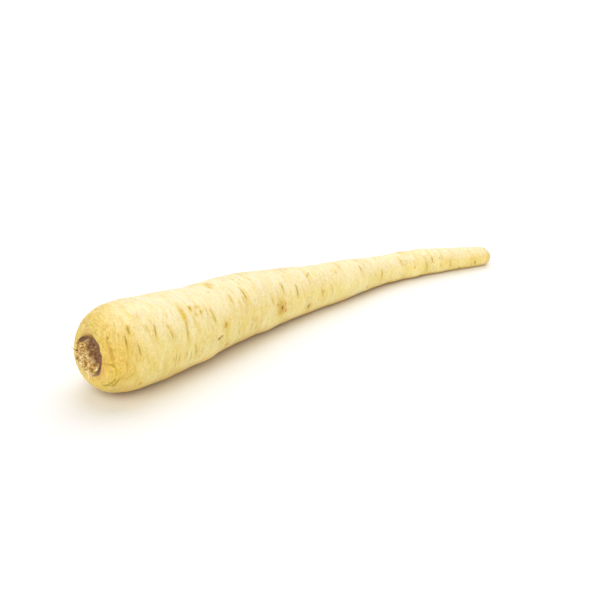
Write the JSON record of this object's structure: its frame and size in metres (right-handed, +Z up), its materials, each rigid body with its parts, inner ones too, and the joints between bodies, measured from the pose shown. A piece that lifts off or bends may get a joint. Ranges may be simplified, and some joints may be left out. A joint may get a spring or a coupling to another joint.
{
  "type": "parsnip",
  "caption": "Whole parsnip lying on its side: a long, gently bowed cream taproot that tapers to a blunt tip, with withered leaf-stalk remains in a hollow crown.",
  "frame": {"origin": "on the resting surface, below the middle of the whole parsnip's box", "axes": "+X along the root from crown to tip, +Y towards the side the root bows to, +Z up"},
  "size_m": [0.297, 0.0564, 0.0493],
  "materials": {
    "skin": "satin",
    "stalk": "matte"
  },
  "bodies": {
    "root": {"root": "skin", "leaf_stalk_stub": "stalk"}
  },
  "joints": []
}
